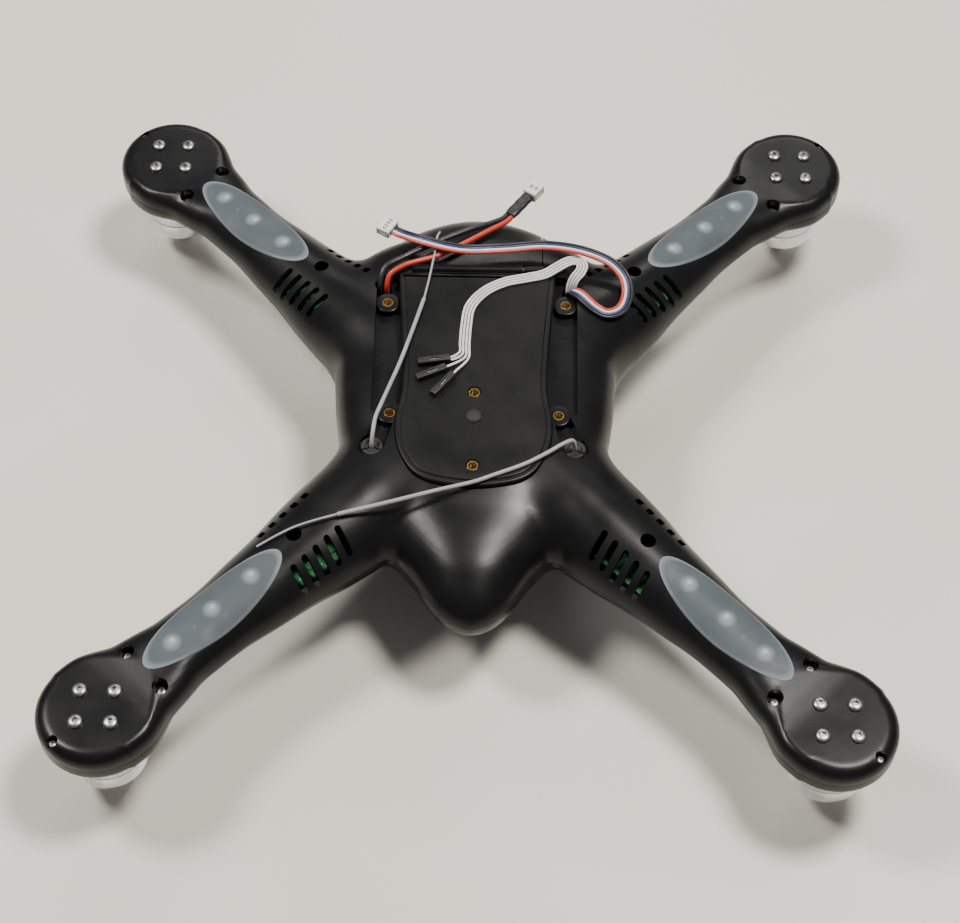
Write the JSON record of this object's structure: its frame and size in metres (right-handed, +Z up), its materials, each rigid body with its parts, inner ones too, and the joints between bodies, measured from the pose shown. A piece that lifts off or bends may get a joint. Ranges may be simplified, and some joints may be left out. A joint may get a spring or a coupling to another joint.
{
  "type": "camera drone airframe",
  "caption": "Camera quadcopter airframe lying belly up on its shafts, with lit arms, brushless motors, a hinged battery door and loose gimbal leads.",
  "frame": {"origin": "middle of the square of motor shafts, level with the tips of the four propeller shafts it stands on", "axes": "+Z up, out of the belly (the aircraft is upside down); -Y towards the nose; +Y towards the battery door; -X is the aircraft's left side"},
  "size_m": [0.3036, 0.3036, 0.0702],
  "materials": {
    "shell": "satin black moulding",
    "belly": "satin black moulding",
    "steel": "bright stainless",
    "inner_plastic": "matte moulding",
    "battery_wrap": "shrink wrap",
    "circuit_board": "green solder mask",
    "black_rubber": "soft matte rubber",
    "brass": "turned brass",
    "frosted_lens": "frosted translucent plastic",
    "cast_aluminium": "turned and polished",
    "copper_winding": "enamelled winding",
    "grey_sleeve": "smooth sleeve",
    "ribbon": "smooth sleeve",
    "white_plastic": "moulded plug",
    "red_sleeve": "smooth sleeve",
    "black_sleeve": "smooth sleeve",
    "white_sleeve": "smooth sleeve"
  },
  "bodies": {
    "airframe": {"upper_shell": "shell", "lower_shell": "shell", "belly_plate": "belly", "door_hinge_pin": "steel", "battery_tray": "inner_plastic", "battery_pack": "battery_wrap", "flight_board": "circuit_board", "receiver_module": "circuit_board", "gps_module": "circuit_board", "antenna_grommet_left": "black_rubber", "antenna_grommet_right": "black_rubber", "centre_bump": "black_rubber", "corner_inserts": "brass", "centre_inserts": "brass", "lens_front_left": "frosted_lens", "led_strip_front_left": "circuit_board", "esc_board_front_left": "circuit_board", "motor_base_front_left": "cast_aluminium", "stator_front_left": "copper_winding", "lens_front_right": "frosted_lens", "led_strip_front_right": "circuit_board", "esc_board_front_right": "circuit_board", "motor_base_front_right": "cast_aluminium", "stator_front_right": "copper_winding", "lens_rear_left": "frosted_lens", "led_strip_rear_left": "circuit_board", "esc_board_rear_left": "circuit_board", "motor_base_rear_left": "cast_aluminium", "stator_rear_left": "copper_winding", "lens_rear_right": "frosted_lens", "led_strip_rear_right": "circuit_board", "esc_board_rear_right": "circuit_board", "motor_base_rear_right": "cast_aluminium", "stator_rear_right": "copper_winding", "motor_screws": "steel", "shell_screws": "steel", "rim_screws": "steel", "antenna_left_coax": "grey_sleeve", "antenna_left_wire": "grey_sleeve", "antenna_right_coax": "grey_sleeve", "antenna_right_wire": "grey_sleeve", "ribbon_lead": "ribbon", "power_lead_red": "red_sleeve", "power_lead_black": "black_sleeve", "signal_plugs": "black_sleeve", "signal_leads": "white_sleeve"},
    "rotor_front_left": {"bell_front_left": "cast_aluminium", "shaft_front_left": "steel"},
    "rotor_front_right": {"bell_front_right": "cast_aluminium", "shaft_front_right": "steel"},
    "rotor_rear_left": {"bell_rear_left": "cast_aluminium", "shaft_rear_left": "steel"},
    "rotor_rear_right": {"bell_rear_right": "cast_aluminium", "shaft_rear_right": "steel"},
    "battery_door_body": {"battery_door": "shell", "ribbon_plug": "white_plastic", "power_sleeve": "black_sleeve", "power_plug": "white_plastic"}
  },
  "joints": [
    {"name": "front_left_rotor_spin", "type": "hinge", "parent": "airframe", "child": "rotor_front_left", "pos_m": [-0.13, -0.13, 0.008], "axis": [0, 0, 1], "continuous": true},
    {"name": "front_right_rotor_spin", "type": "hinge", "parent": "airframe", "child": "rotor_front_right", "pos_m": [0.13, -0.13, 0.008], "axis": [0, 0, 1], "continuous": true},
    {"name": "rear_left_rotor_spin", "type": "hinge", "parent": "airframe", "child": "rotor_rear_left", "pos_m": [-0.13, 0.13, 0.008], "axis": [0, 0, 1], "continuous": true},
    {"name": "rear_right_rotor_spin", "type": "hinge", "parent": "airframe", "child": "rotor_rear_right", "pos_m": [0.13, 0.13, 0.008], "axis": [0, 0, 1], "continuous": true},
    {"name": "battery_door_swing", "type": "hinge", "parent": "airframe", "child": "battery_door_body", "pos_m": [0, 0.0602, 0.063], "axis": [1, 0, 0], "range_deg": [0, 95], "deforming": ["power_lead_red", "power_lead_black", "ribbon_lead", "antenna_left_wire"]}
  ]
}
